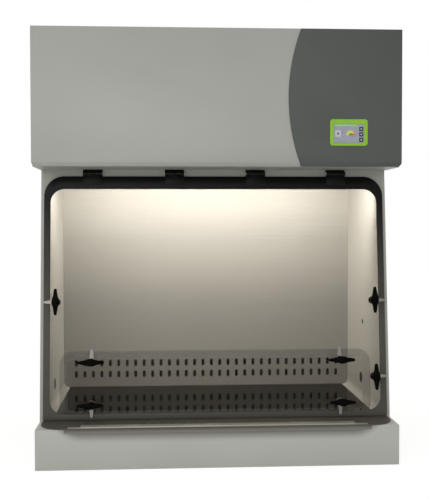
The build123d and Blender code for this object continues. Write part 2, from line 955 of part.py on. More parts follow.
def pleated_pack(x_span, y_span, low, high):
    """Filter pack that fills its frame, with pleat folds along its lower and upper faces."""
    wall = filter_wall
    inside = (x_span[0] + wall, x_span[1] - wall)
    pack = block(inside, (y_span[0] + wall, y_span[1] - wall), (low + media_recess, high - media_recess))
    pitch = (inside[1] - inside[0]) / pleat_count
    fold = Box(pitch / 2, y_span[1] - y_span[0], 2 * pleat_depth)
    for level in (low + media_recess, high - media_recess):
        spots = Pos(0, (y_span[0] + y_span[1]) / 2, level) * GridLocations(pitch, 1, pleat_count, 1)
        pack -= [spot * fold for spot in spots]
    return pack


def supply_filter_pack():
    return pleated_pack((-filter_half, filter_half), (filter_front, filter_rear), filter_bottom, plenum_bottom)


def exhaust_filter():
    x_span, y_span = exhaust_spans(0)
    return filter_frame(x_span, y_span, plenum_top, plenum_top + exhaust_height)


def exhaust_filter_pack():
    x_span, y_span = exhaust_spans(0)
    return pleated_pack(x_span, y_span, plenum_top, plenum_top + exhaust_height)


def ceiling_diffuser():
    """Slotted sheet under the supply filter."""
    y_span = (filter_front, filter_rear)
    plate = block((-filter_half, filter_half), y_span, (filter_bottom - diffuser_sheet, filter_bottom))
    pitch = 2 * (filter_half - diffuser_border) / diffuser_slot_count
    slot = Box(diffuser_slot_width, y_span[1] - y_span[0] - 2 * diffuser_border, 4 * diffuser_sheet)
    spots = Pos(0, sum(y_span) / 2, filter_bottom) * GridLocations(pitch, 1, diffuser_slot_count, 1)
    return plate - [spot * slot for spot in spots]


def plenum_box():
    """Pressure box over the supply filter, with holes for the fan and the exhaust filter."""
    sheet = plenum_sheet
    outer = block((-filter_half, filter_half), (filter_front, filter_rear), (plenum_bottom, plenum_top))
    inner = block(
        (-filter_half + sheet, filter_half - sheet),
        (filter_front + sheet, filter_rear - sheet),
        (plenum_bottom - cut_over, plenum_top - sheet),
    )
    x_span, y_span = exhaust_spans(-filter_wall)
    vent = block(x_span, y_span, (plenum_top - sheet - cut_over, plenum_top + cut_over))
    eye = rod_y(fan_eye, 0, fan_centre_z, (filter_rear - 2 * sheet, filter_rear + cut_over))
    return outer - inner - vent - eye


def lamp_fixture():
    """Channel under the hood's floor with a socket at each end of the tube."""
    y = lamp_y()
    half = lamp_body_width / 2
    low = hood_bottom - lamp_body_height
    reach = lamp_half + lamp_socket
    body = block((-reach, reach), (y - half, y + half), (low, hood_bottom))
    for side in (-1, 1):
        ends = sorted((side * lamp_half, side * reach))
        body += block(ends, (y - half / 2, y + half / 2), (lamp_z() - lamp_radius, low))
    return body


def lamp_y():
    return front_at(hood_bottom) + lamp_setback + lamp_body_width / 2


def lamp_z():
    return hood_bottom - lamp_drop


def lamp_tube():
    return Pos(0, lamp_y(), lamp_z()) * (Rot(0, 90, 0) * Cylinder(lamp_radius, 2 * lamp_half))


# Fan

def scroll_outline(margin):
    """Snail outline, as a round part with an outlet that opens downwards."""
    radius = fan_radius + scroll_growth + margin
    shape = Circle(radius)
    drop = fan_centre_z - plenum_bottom - scroll_growth
    shape += Pos(radius / 2, -drop / 2) * Rectangle(radius, drop)
    return shape


def fan_housing():
    back = fan_y_rear
    plane = Plane.XZ.offset(-back)
    outer = extrude(plane * (Pos(0, fan_centre_z) * scroll_outline(scroll_sheet)), amount=scroll_depth)
    inside = Pos(0, fan_centre_z) * scroll_outline(0)
    inner = extrude(Plane.XZ.offset(-(back - scroll_sheet)) * inside, amount=scroll_depth - 2 * scroll_sheet)
    mouth = block(
        (scroll_sheet, fan_radius + scroll_growth),
        (back - scroll_depth + scroll_sheet, back - scroll_sheet),
        (plenum_bottom, fan_centre_z - fan_radius),
    )
    eye = rod_y(fan_eye, 0, fan_centre_z, (back - 2 * scroll_sheet, back + cut_over))
    face = back - scroll_depth
    shaft_hole = rod_y(motor_boss, 0, fan_centre_z, (face - cut_over, face + scroll_sheet + cut_over))
    return outer - inner - mouth - eye - shaft_hole


def fan_span():
    """Where the impeller lies along Y."""
    rear = fan_y_rear - scroll_sheet - fan_clearance
    return (rear - fan_width, rear)


def fan_impeller():
    front, rear = fan_span()
    plane = Plane.XZ.offset(-rear)
    hub = Circle(fan_hub) - Circle(shaft_radius + running_gap)
    wheel = extrude(Plane.XZ.offset(-(front + fan_width / 2)) * (Pos(0, fan_centre_z) * hub), amount=fan_width / 2)
    back_plate = Circle(fan_radius) - Circle(shaft_radius + running_gap)
    wheel += extrude(Plane.XZ.offset(-(front + fan_plate)) * (Pos(0, fan_centre_z) * back_plate), amount=fan_plate)
    shroud = Circle(fan_radius) - Circle(fan_eye)
    wheel += extrude(plane * (Pos(0, fan_centre_z) * shroud), amount=fan_plate)
    blades = [Pos(0, fan_centre_z) * turn * fan_blade() for turn in PolarLocations(0, fan_blades)]
    wheel += extrude(plane * Sketch(children=blades), amount=fan_width)
    return wheel


def fan_blade():
    """One backward-curved blade, as a thin arc between the eye and the rim."""
    reach = (fan_radius + fan_eye) / 2
    bow = Circle(fan_blade_arc + fan_blade_sheet / 2) - Circle(fan_blade_arc - fan_blade_sheet / 2)
    ring = Circle(fan_radius) - Circle(fan_eye)
    pieces = (Pos(reach / 2, -fan_blade_arc) * bow) & ring
    return pieces.faces().sort_by(Axis.X)[-1]


def fan_motor():
    back = fan_y_rear - scroll_depth
    body = rod_y(motor_radius, 0, fan_centre_z, (back - motor_length, back))
    boss = rod_y(motor_boss - slip_gap, 0, fan_centre_z, (back, back + motor_boss_length))
    bore = rod_y(shaft_radius + running_gap, 0, fan_centre_z, (back - motor_length / 2, back + 2 * motor_boss_length))
    return body + boss - bore


def fan_shaft():
    back = fan_y_rear - scroll_depth
    end = sum(fan_span()) / 2
    return rod_y(shaft_radius, 0, fan_centre_z, (back - motor_length / 2 + slip_gap, end))


# Electronics

def electronics_tray():
    """Folded tray on the hood's floor, behind the control cover."""
    x_span, y_span = tray_spans()
    floor = hood_bottom + panel_sheet
    tray = block(x_span, y_span, (floor, floor + panel_sheet))
    for y in (y_span[0], y_span[1] - panel_sheet):
        tray += block(x_span, (y, y + panel_sheet), (floor, floor + tray_lip))
    for x, y in board_corners():
        tray += Pos(x, y, floor + panel_sheet + standoff_height / 2) * Cylinder(standoff_radius, standoff_height)
    return tray


def tray_spans():
    right = hood_half - screw_inset
    front = shell_front + drop_in_gap
    return (right - tray_width, right), (front, front + tray_depth)


def board_centre():
    x_span, y_span = tray_spans()
    return x_span[1] - board_size / 2 - standoff_radius * 2, sum(y_span) / 2


def board_corners():
    x, y = board_centre()
    reach_x = board_size / 2 - 2 * standoff_radius
    reach_y = tray_depth / 2 - tray_lip - 2 * standoff_radius
    return [(x + i * reach_x, y + j * reach_y) for i in (-1, 1) for j in (-1, 1)]


def control_board():
    x, y = board_centre()
    low = hood_bottom + 2 * panel_sheet + standoff_height
    board = Pos(x, y, low + board_sheet / 2) * Box(board_size, tray_depth - 2 * tray_lip, board_sheet)
    for step in (-1, 0, 1):
        board += Pos(x + step * board_size / 4, y, low + board_sheet + 4) * Box(board_size / 8, 20, 8)
    return board


def power_supply():
    x_span, y_span = tray_spans()
    low = hood_bottom + 2 * panel_sheet
    near = x_span[0] + tray_lip
    half = tray_depth / 2 - tray_lip
    middle = sum(y_span) / 2
    box = block((near, near + supply_size), (middle - half, middle + half), (low, low + supply_tall))
    return chamfer(box.edges().filter_by(Axis.Y).group_by(Axis.Z)[-1], panel_sheet)


# All pieces, each under the name of its file

PIECES = {
    "base_shell": base_shell(),
    "front_sill": front_sill(),
    "armrest_rail": armrest_rail(),
    "drain_pan": drain_pan(),
    "drain_plug": drain_plug(),
    "work_tray": work_tray(),
    "side_panel_left": side_panel(-1),
    "side_panel_right": side_panel(1),
    "side_liner_left": side_liner(-1),
    "side_liner_right": side_liner(1),
    "port_plugs": port_plugs(),
    "window_fascia": window_fascia(),
    "rear_baffle": rear_baffle(),
    "rear_panel": rear_panel(),
    "power_inlet": power_inlet(),
    "rear_screws": rear_screws(),
    "window_frame": window_frame(),
    "window_pane": window_pane(),
    "closure_panel": closure_panel(),
    "closure_gasket": closure_gasket(),
    "latch_bushes": latch_bushes(),
    "hinge_fixed_leaves": Compound(children=[hinge_fixed_leaf(x) for x in hinge_centres()]),
    "hinge_window_leaves": Compound(children=[hinge_window_leaf(x) for x in hinge_centres()]),
    "hinge_pins": hinge_pins(),
    "hood_shell": hood_shell(),
    "hood_front_panel": hood_front_panel(),
    "control_panel_cover": control_panel_cover(),
    "display_bezel": display_bezel(),
    "display_screen": display_screen(),
    "exhaust_guard": exhaust_guard(),
    "supply_filter": supply_filter(),
    "supply_filter_pack": supply_filter_pack(),
    "exhaust_filter": exhaust_filter(),
    "exhaust_filter_pack": exhaust_filter_pack(),
    "ceiling_diffuser": ceiling_diffuser(),
    "plenum_box": plenum_box(),
    "lamp_fixture": lamp_fixture(),
    "lamp_tube": lamp_tube(),
    "fan_housing": fan_housing(),
    "fan_motor": fan_motor(),
    "fan_shaft": fan_shaft(),
    "fan_impeller": fan_impeller(),
    "electronics_tray": electronics_tray(),
    "control_board": control_board(),
    "power_supply": power_supply(),
}
for latch in latch_places():
    PIECES[f"latch_wing_{latch}"] = latch_wing(latch)
    PIECES[f"latch_tongue_{latch}"] = latch_tongue(latch)

os.makedirs("parts", exist_ok=True)
for name, shape in PIECES.items():
    export_step(shape, f"parts/{name}.step")
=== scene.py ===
import json
import math
import bpy
from mathutils import Matrix, Vector


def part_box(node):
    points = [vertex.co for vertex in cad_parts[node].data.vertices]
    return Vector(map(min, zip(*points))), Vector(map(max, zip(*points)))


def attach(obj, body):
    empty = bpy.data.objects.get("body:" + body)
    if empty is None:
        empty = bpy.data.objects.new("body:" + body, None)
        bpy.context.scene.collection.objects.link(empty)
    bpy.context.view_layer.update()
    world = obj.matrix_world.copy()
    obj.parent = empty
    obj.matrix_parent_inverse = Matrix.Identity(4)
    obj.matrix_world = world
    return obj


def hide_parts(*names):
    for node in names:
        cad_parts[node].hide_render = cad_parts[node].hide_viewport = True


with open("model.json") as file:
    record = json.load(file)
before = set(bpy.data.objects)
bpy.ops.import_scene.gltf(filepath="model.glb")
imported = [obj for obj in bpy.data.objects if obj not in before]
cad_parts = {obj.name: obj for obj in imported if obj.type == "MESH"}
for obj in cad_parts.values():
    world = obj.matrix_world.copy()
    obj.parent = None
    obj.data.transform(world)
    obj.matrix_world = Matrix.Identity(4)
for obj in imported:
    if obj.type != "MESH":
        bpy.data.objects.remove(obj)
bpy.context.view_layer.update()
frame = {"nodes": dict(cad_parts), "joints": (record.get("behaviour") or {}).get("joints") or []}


# Grey painted cabinet sheet
# The side panels, the strip above the window, the hood's shell and the guard on its top are folded mild
# steel, powder coated light grey. The coat has a faint orange peel, and its tone drifts over a large panel.

cabinet_grey = (160, 162, 156)
body_grey = (160, 160, 154)


def linear(colour):
    """A screen colour from 0 to 255 as the linear and opaque colour that a shader takes."""
    values = [value / 255 for value in colour]
    return [*(v / 12.92 if v <= 0.04045 else ((v + 0.055) / 1.055) ** 2.4 for v in values), 1]


def shader_of(material):
    return material.node_tree.nodes["Principled BSDF"]


def finish(name, colour, roughness, metallic=0.0, sheen=0.5):
    """A new material with a shader of one colour, roughness, metal share and strength of shine."""
    material = bpy.data.materials.new(name)
    material.use_nodes = True
    shader = shader_of(material)
    shader.inputs["Base Color"].default_value = linear(colour)
    shader.inputs["Roughness"].default_value = roughness
    shader.inputs["Metallic"].default_value = metallic
    shader.inputs["Specular IOR Level"].default_value = sheen
    return material


def add_node(material, kind, **values):
    """A shader node with some of its inputs set by name."""
    node = material.node_tree.nodes.new(kind)
    for name, value in values.items():
        node.inputs[name].default_value = value
    return node


def join(material, output, target):
    material.node_tree.links.new(output, target)


def own_place(material):
    return add_node(material, "ShaderNodeTexCoord").outputs["Object"]


def grain(material, scale, stretch=(1, 1, 1), detail=3.0):
    """A cloudy pattern fixed to the piece, drawn out along an axis by a small stretch value."""
    place = add_node(material, "ShaderNodeMapping", Scale=stretch)
    join(material, own_place(material), place.inputs["Vector"])
    cloud = add_node(material, "ShaderNodeTexNoise", Scale=scale, Detail=detail)
    join(material, place.outputs["Vector"], cloud.inputs["Vector"])
    return cloud.outputs["Fac"]


def tint(material, pattern, dark, light, low=0.3, high=0.7):
    """Colours the surface between two tones, as a pattern runs from a low to a high value."""
    ramp = add_node(material, "ShaderNodeValToRGB")
    for element, position, colour in zip(ramp.color_ramp.elements, (low, high), (dark, light)):
        element.position = position
        element.color = linear(colour)
    join(material, pattern, ramp.inputs["Fac"])
    join(material, ramp.outputs["Color"], shader_of(material).inputs["Base Color"])


def gloss(material, pattern, low, high):
    """Varies the roughness between two values by a pattern."""
    spread = add_node(material, "ShaderNodeMapRange", **{"To Min": low, "To Max": high})
    join(material, pattern, spread.inputs["Value"])
    join(material, spread.outputs["Result"], shader_of(material).inputs["Roughness"])


def relief(material, pattern, strength, height):
    """Raises the surface by a pattern, with the height in metres."""
    bump = add_node(material, "ShaderNodeBump", Strength=strength, Distance=height)
    join(material, pattern, bump.inputs["Height"])
    join(material, bump.outputs["Normal"], shader_of(material).inputs["Normal"])


def shifted(colour, amount):
    return [value + amount for value in colour]


def powder_coat(name, colour, drift=3, roughness=0.45, sheen=0.4):
    """Sprayed paint: tone drift over a panel, uneven gloss and a fine orange peel."""
    coat = finish(name, colour, roughness, sheen=sheen)
    tint(coat, grain(coat, scale=2.2), shifted(colour, -drift), shifted(colour, drift))
    gloss(coat, grain(coat, scale=14), low=roughness - 0.06, high=roughness + 0.06)
    relief(coat, grain(coat, scale=420, detail=1.0), strength=0.25, height=0.0002)
    return coat


def coat_nodes(material, *names):
    """Gives carried-over pieces of the frame their finish."""
    for name in names:
        piece = frame["nodes"][name]
        if not piece.material_slots:
            piece.data.materials.append(material)
        for slot in piece.material_slots:
            slot.material = material


coat_nodes(powder_coat("grey_powder_coat", cabinet_grey), "hood_shell", "exhaust_guard")
body_paint = powder_coat("body_powder_coat", body_grey)
coat_nodes(body_paint, "side_panel_left", "side_panel_right", "window_fascia")


# Base box
# A welded box that everything stands on. Its front carries a painted soft shadow under the arm rest, below
# the black lip, and the painted shadow follows the lip's rounded ends.

base_grey = (174, 176, 170)
shade_grey = (104, 102, 97)
shade_half = 0.400
shade_level = 0.187
shade_corner = 0.075
shade_fade = 0.036
front_face = -0.392
front_depth = 0.002
base_edge = 0.0012


def place_along(material, axis):
    """The place of each point of the surface along one axis."""
    axes = add_node(material, "ShaderNodeSeparateXYZ")
    join(material, own_place(material), axes.inputs["Vector"])
    return axes.outputs[axis]


def maths(material, kind, *values):
    """The result of one operation on values that are numbers or outputs of other nodes."""
    node = add_node(material, "ShaderNodeMath")
    node.operation = kind
    for socket, value in zip(node.inputs, values):
        if isinstance(value, (int, float)):
            socket.default_value = value
        else:
            join(material, value, socket)
    return node.outputs["Value"]


def spread_over(material, value, start, end, first=0.0, last=1.0, curve="LINEAR"):
    """A share that runs from first to last as a value goes from start to end."""
    share = add_node(material, "ShaderNodeMapRange", **{
        "From Min": start, "From Max": end, "To Min": first, "To Max": last,
    })
    share.interpolation_type = curve
    join(material, value, share.inputs["Value"])
    return share.outputs["Result"]


def blend_colour(material, share, colour, kind="MIX"):
    """Blends the surface colour made so far with another one by a share."""
    surface = shader_of(material).inputs["Base Color"]
    so_far = surface.links[0].from_socket
    mix = add_node(material, "ShaderNodeMix")
    mix.data_type = "RGBA"
    mix.blend_type = kind
    join(material, share, mix.inputs["Factor"])
    join(material, so_far, mix.inputs["A"])
    mix.inputs["B"].default_value = linear(colour)
    join(material, mix.outputs["Result"], surface)


def shaded_base_coat():
    """Light grey paint with a painted shadow that darkens it round a long rounded bar at the height of the
    lip.
    """
    coat = powder_coat("base_powder_coat", base_grey)
    across = maths(coat, "ABSOLUTE", place_along(coat, "X"))
    across = maths(coat, "MAXIMUM", maths(coat, "SUBTRACT", across, shade_half), 0)
    down = maths(coat, "MAXIMUM", maths(coat, "SUBTRACT", shade_level, place_along(coat, "Z")), 0)
    squares = [maths(coat, "MULTIPLY", side, side) for side in (across, down)]
    reach = maths(coat, "SQRT", maths(coat, "ADD", *squares))
    near = spread_over(coat, reach, shade_corner, shade_corner + shade_fade, 1.0, 0.0, "SMOOTHSTEP")
    front = spread_over(coat, place_along(coat, "Y"), front_face, front_face + front_depth, 1.0, 0.0)
    # Painted shadow under the lip, on the front face only
    blend_colour(coat, maths(coat, "MULTIPLY", near, front), shade_grey)
    return coat


def clear_selection():
    bpy.ops.object.select_all(action="DESELECT")


def only(piece):
    """Makes one object the selected and active one."""
    clear_selection()
    piece.select_set(True)
    bpy.context.view_layer.objects.active = piece


def apply_modifier(piece, modifier):
    only(piece)
    bpy.ops.object.modifier_apply(modifier=modifier.name)


def roll_edges(piece, radius, segments, degrees, clamped=True):
    """Rolls over the edges that are sharper than an angle."""
    rolled = piece.modifiers.new("rolled edges", "BEVEL")
    rolled.width = radius
    rolled.segments = segments
    rolled.limit_method = "ANGLE"
    rolled.angle_limit = math.radians(degrees)
    rolled.use_clamp_overlap = clamped
    apply_modifier(piece, rolled)


def place_copy(name, mesh):
    """An object in the scene with its own copy of a mesh."""
    piece = bpy.data.objects.new(name, mesh.copy())
    bpy.context.scene.collection.objects.link(piece)
    return piece


def show_instead(piece, node, body, material, degrees=35):
    """Dresses a finished piece and shows it in place of a frame piece, with its flat faces kept flat."""
    piece.data.materials.clear()
    piece.data.materials.append(material)
    only(piece)
    bpy.ops.object.shade_smooth_by_angle(angle=math.radians(degrees))
    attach(piece, body)
    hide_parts(node)


def eased_copy(node, name, body, material, radius, segments=2):
    """A copy of a frame piece with its sharp edges rolled over, which is then shown in its place."""
    piece = place_copy(name, frame["nodes"][node].data)
    only(piece)
    bpy.ops.object.mode_set(mode="EDIT")
    bpy.ops.mesh.select_all(action="SELECT")
    bpy.ops.mesh.remove_doubles(threshold=0.00002)
    bpy.ops.mesh.dissolve_limited(angle_limit=math.radians(0.5))
    bpy.ops.object.mode_set(mode="OBJECT")
    roll_edges(piece, radius, segments, degrees=40, clamped=False)
    show_instead(piece, node, body, material)


eased_copy("base_shell", "base_box", "cabinet", shaded_base_coat(), base_edge)


# Front sill and arm rest
# The sill is satin black sheet with fine air slots, folded over the base's front edge. Its nose carries a
# painted shadow: black under the arm rest, paling downwards into the base's painted shade. The arm rest is
# a drawn steel strip on it with thin end tabs.

sill_black = (74, 71, 65)
nose_shade_grey = (126, 124, 118)
nose_top = 0.1225
nose_foot = 0.1095
slot_pitch = 0.030
slot_zone = 0.430
slot_span = (-0.351, -0.299)
slot_narrowing = 0.15
rail_grey = (152, 149, 139)
rail_edge = 0.0007


def narrowed_sill():
    """The sill with its air slots as fine lines."""
    sill = place_copy("sill", frame["nodes"]["front_sill"].data)
    for vertex in sill.data.vertices:
        place = vertex.co
        if abs(place.x) < slot_zone and slot_span[0] < place.y < slot_span[1]:
            middle = round(place.x / slot_pitch) * slot_pitch
            place.x = middle + (place.x - middle) * slot_narrowing
    coat = powder_coat("sill_coat", sill_black, drift=2, roughness=0.55, sheen=0.15)
    # Painted shade on the nose, black at its top and paling downwards
    blend_colour(coat, spread_over(coat, place_along(coat, "Z"), nose_top, nose_foot), nose_shade_grey)
    show_instead(sill, "front_sill", "cabinet", coat)


narrowed_sill()


def drawn_steel(name, colour, roughness, along=(2, 260, 260)):
    """Satin steel with fine lines drawn along one axis."""
    steel = finish(name, colour, roughness, metallic=0.6)
    lines = grain(steel, scale=3.0, stretch=along, detail=4.0)
    tint(steel, lines, shifted(colour, -9), shifted(colour, 9))
    gloss(steel, lines, low=roughness - 0.08, high=roughness + 0.1)
    relief(steel, lines, strength=0.12, height=0.0001)
    return steel


rail_finish = drawn_steel("arm_rest_steel", rail_grey, roughness=0.4)
eased_copy("armrest_rail", "arm_rest", "cabinet", rail_finish, rail_edge)


# Stainless chamber
# The walls, the coved feet, the slotted baffle and the drain pan are stainless sheet, brushed so that long
# soft streaks cross it. The baffle carries painted shade: lighter under the lamp and darker towards the
# floor.

wall_steel = (172, 167, 157)
wall_roughness = 0.42
pan_grey = (170, 168, 162)
pan_roughness = 0.35
liner_painted_light_lift = 12
streaks_along_x = (1.5, 40, 260)
streaks_along_y = (40, 1.5, 260)
pan_streaks = (2, 120, 120)

# Where a painted shade of the baffle starts, where it is full, and its tone
baffle_painted_shades = (
    (0.85, 0.66, (228, 228, 228)),
    (0.76, 0.42, (208, 207, 206)),
)


def brushed_sheet(name, colour, roughness, along, metallic=0.0):
    """Stainless sheet with faint streaks along one axis and cloudy gloss."""
    sheet = finish(name, colour, roughness, metallic, sheen=0.15)
    streaks = grain(sheet, scale=1.0, stretch=along, detail=6.0)
    tint(sheet, streaks, shifted(colour, -3), shifted(colour, 3))
    gloss(sheet, grain(sheet, scale=5.0), low=roughness - 0.07, high=roughness + 0.07)
    relief(sheet, streaks, strength=0.02, height=0.0001)
    return sheet


baffle_steel = brushed_sheet("baffle_steel", wall_steel, wall_roughness, streaks_along_x)
# Painted shade on the baffle, by height
for start, full, tone in baffle_painted_shades:
    share = spread_over(baffle_steel, place_along(baffle_steel, "Z"), start, full)
    blend_colour(baffle_steel, share, tone, "MULTIPLY")
coat_nodes(baffle_steel, "rear_baffle")
# Painted light: the side liners take the baffle's steel, made lighter to stand for the light on the side
# walls
liner_grey = shifted(wall_steel, liner_painted_light_lift)
for part_name in ("side_liner_left", "side_liner_right"):
    liner_steel = brushed_sheet(part_name + "_steel", liner_grey, wall_roughness, streaks_along_y)
    coat_nodes(liner_steel, part_name)
pan_steel = brushed_sheet("pan_steel", pan_grey, pan_roughness, pan_streaks, metallic=0.9)
coat_nodes(pan_steel, "drain_pan")


# Work tray
# The removable floor is polished stainless sheet that mirrors the slots behind it, a little blurred by
# wiping marks.

tray_grey = (124, 121, 114)
tray_mirror = (0.46, 0.45, 0.42, 1)
tray_steel = finish("tray_polished_steel", tray_grey, roughness=0.1, metallic=1.0)
shader_of(tray_steel).inputs["Specular Tint"].default_value = tray_mirror
tint(tray_steel, grain(tray_steel, scale=6.0), shifted(tray_grey, -4), shifted(tray_grey, 4))
gloss(tray_steel, grain(tray_steel, scale=9.0, stretch=(1, 3, 1)), low=0.01, high=0.03)
coat_nodes(tray_steel, "work_tray")


# Rubber port plugs and the drain stopper
# Moulded black rubber, pushed into the holes of the side walls and the drain.

port_black = (24, 24, 22)
stopper_black = (26, 26, 26)


def moulded(name, colour, roughness, sheen=0.3):
    """Moulded plastic or rubber with a fine spark-eroded texture."""
    shell = finish(name, colour, roughness, sheen=sheen)
    tint(shell, grain(shell, scale=60), shifted(colour, -2), shifted(colour, 3))
    gloss(shell, grain(shell, scale=25), low=roughness - 0.07, high=roughness + 0.08)
    relief(shell, grain(shell, scale=900, detail=1.0), strength=0.3, height=0.0001)
    return shell


coat_nodes(moulded("port_rubber", port_black, roughness=0.7), "port_plugs")
coat_nodes(moulded("stopper_rubber", stopper_black, roughness=0.65), "drain_plug")


# Rear panel and its fittings
# Painted sheet, held by plated hexagon screws, with its inner face towards the air duct darkened to near
# black as painted shade. A black moulded inlet for the power lead is set in it.

duct_shade_black = (26, 26, 25)
paint_ends = 0.3925
duct_face = 0.3915
plated_grey = (196, 196, 194)
moulding_black = (14, 14, 13)

panel_coat = powder_coat("rear_panel_coat", cabinet_grey)
# Painted shade on the face towards the duct
duct_shade_share = spread_over(panel_coat, place_along(panel_coat, "Y"), paint_ends, duct_face)
blend_colour(panel_coat, duct_shade_share, duct_shade_black)
coat_nodes(panel_coat, "rear_panel")

plated = finish("plated_steel", plated_grey, roughness=0.25, metallic=1.0)
tint(plated, grain(plated, scale=300), shifted(plated_grey, -10), shifted(plated_grey, 10))
gloss(plated, grain(plated, scale=120), low=0.18, high=0.34)
coat_nodes(plated, "rear_screws")

# The hinge pins and the fan's shaft are plated in the same way
coat_nodes(plated, "hinge_pins", "fan_shaft")

black_moulding = moulded("black_moulding", moulding_black, roughness=0.45)
coat_nodes(black_moulding, "power_inlet")


# Window frame
# An aluminium frame with a satin black coat and rounded corners. Its edges are eased, and the coat greys
# towards its foot as a painted reflection of the pale floor and walls.

frame_black = (4, 4, 4)
frame_reflection_grey = (76, 74, 68)
reflection_starts = 0.80
reflection_full = 0.42
frame_edge = 0.0018

frame_coat = finish("frame_coat", frame_black, roughness=0.35, sheen=0.12)
# Painted reflection: the black coat greys towards the foot
reflection_share = spread_over(frame_coat, place_along(frame_coat, "Z"), reflection_starts, reflection_full)
tint(frame_coat, reflection_share, frame_black, frame_reflection_grey, low=0.0, high=1.0)
gloss(frame_coat, grain(frame_coat, scale=20), low=0.3, high=0.42)
relief(frame_coat, grain(frame_coat, scale=500, detail=1.0), strength=0.2, height=0.0001)
eased_copy("window_frame", "window_surround", "window", frame_coat, frame_edge, segments=3)


# Clear window and lower closure panel
# Toughened clear sheet. The closure panel covers the work opening from inside, and a soft translucent
# seal runs round it between the two sheets.

pane_grey = (200, 208, 204)
closure_grey = (46, 44, 40)
seal_grey = (80, 77, 71)


def clear_sheet(name, colour, cover, roughness):
    """See-through sheet with faint wiping marks, which covers what lies behind by a small share."""
    sheet = finish(name, colour, roughness)
    tint(sheet, grain(sheet, scale=3.0, stretch=(1, 1, 3)), shifted(colour, -8), colour)
    gloss(sheet, grain(sheet, scale=7.0), low=roughness, high=roughness + 0.06)
    shader_of(sheet).inputs["Alpha"].default_value = cover
    return sheet


coat_nodes(clear_sheet("pane_glass", pane_grey, cover=0.03, roughness=0.04), "window_pane")
coat_nodes(clear_sheet("closure_sheet", closure_grey, cover=0.12, roughness=0.06), "closure_panel")
coat_nodes(clear_sheet("seal_rubber", seal_grey, cover=0.1, roughness=0.5), "closure_gasket")


# Latch bushes and tongues
# Round flanged sleeves of black plastic, set in the window, and pressed bright steel tongues that swing
# with the wings.

tongue_grey = (134, 131, 125)
lines_upright = (200, 200, 2)
latch_turn = {
    "left": 90,
    "right_upper": -90,
    "right_lower": -90,
    "cover_top_left": 0,
    "cover_top_right": 0,
    "cover_foot_left": 180,
    "cover_foot_right": 180,
}

coat_nodes(black_moulding, "latch_bushes")
tongue_steel = drawn_steel("tongue_steel", tongue_grey, roughness=0.4, along=lines_upright)
coat_nodes(tongue_steel, *(f"latch_tongue_{latch}" for latch in latch_turn))


# Wing knobs
# Moulded black wings on a flared hub. Each is one moulding with its stud and washer, pushed through the
# bush, and turns a tongue by a quarter turn.

knob_shade = (3, 3, 2)
knob_seat = 0.0111
wing_low = 0.0433
wing_high = 0.0573
wing_edge = 0.0014
boss_half = 0.012
root_share = 0.55
crown_share = 0.4
crown_inset = 0.003
crown_rise = 0.0012
hub_foot = 0.009
hub_top_share = 0.95
hub_edge = 0.0006
collar_height = 0.004
collar_edge = 0.0008
collar_foot_over = 0.0022
collar_top_over = 0.0012
stud_radius = 0.004
washer_radius = 0.008
washer_height = 0.002
washer_edge = 0.0004
outer_stud_end = -0.0035
cover_stud_end = -0.0115
shell_overlap = 0.002

# How far each step of a wing reaches out, and the shares of its width and thickness that it ends with
wing_steps = ((0.008, 0.62, 0.92), (0.0134, 0.8, 0.9), (0.0124, 0.66, 0.86))


def select_faces(piece, test):
    """Selects the faces of the piece in edit mode that pass a test on centre and normal."""
    bpy.ops.object.mode_set(mode="OBJECT")
    for part in (*piece.data.edges, *piece.data.vertices):
        part.select = False
    for face in piece.data.polygons:
        face.select = test(face.center, face.normal)
    bpy.ops.object.mode_set(mode="EDIT")


def new_piece(name):
    """Names the primitive that was just added, and returns it."""
    piece = bpy.context.view_layer.objects.active
    piece.name = name
    piece.data.name = name
    return piece


def settle(piece):
    """Bakes an object's own place and turn into its mesh."""
    only(piece)
    bpy.ops.object.transform_apply(location=True, rotation=True, scale=True)


def fuse(piece, other):
    """Unites another closed shell with the piece and removes the other object."""
    union = piece.modifiers.new("union", "BOOLEAN")
    union.operation = "UNION"
    union.solver = "EXACT"
    union.object = other
    apply_modifier(piece, union)
    bpy.data.objects.remove(other)


def wing_bar():
    """The two wings and the boss between them, drawn out of a block in steps and smoothed."""
    middle = (0, 0, (wing_low + wing_high) / 2)
    facing = 0.9
    crown_half = boss_half * crown_share
    clear_selection()
    bpy.ops.mesh.primitive_cube_add(size=2, location=middle)
    bar = new_piece("wing_bar")
    settle(bar)
    bpy.ops.object.mode_set(mode="EDIT")
    bpy.ops.mesh.select_mode(type="FACE")
    bpy.ops.mesh.select_all(action="SELECT")
    half_sizes = (boss_half * root_share, boss_half, (wing_high - wing_low) / 2)
    bpy.ops.transform.resize(value=half_sizes, center_override=middle)
    for side in (-1, 1):
        select_faces(bar, lambda centre, normal: normal.x * side > facing)
        for reach, narrow, thin in wing_steps:
            bpy.ops.mesh.extrude_region_move(TRANSFORM_OT_translate={"value": (side * reach, 0, 0)})
            bpy.ops.transform.resize(value=(1, narrow, thin))
    select_faces(bar, lambda centre, normal: normal.z > facing and abs(centre.x) < crown_half)
    bpy.ops.mesh.inset(thickness=crown_inset)
    bpy.ops.transform.translate(value=(0, 0, crown_rise))
    bpy.ops.object.mode_set(mode="OBJECT")
    roll_edges(bar, wing_edge, segments=1, degrees=35)
    smooth = bar.modifiers.new("moulded surface", "SUBSURF")
    smooth.levels = 2
    smooth.render_levels = 2
    apply_modifier(bar, smooth)
    return bar


def round_rod(name, low_radius, high_radius, low, high, edge=0.0, vertices=32):
    """A closed rod or flare along Z, with its rims rolled over by an edge radius if it has one."""
    clear_selection()
    bpy.ops.mesh.primitive_cone_add(
        vertices=vertices, radius1=low_radius, radius2=high_radius, depth=high - low,
        location=(0, 0, (low + high) / 2),
    )
    rod = new_piece(name)
    settle(rod)
    if edge:
        roll_edges(rod, edge, segments=2, degrees=50)
    return rod


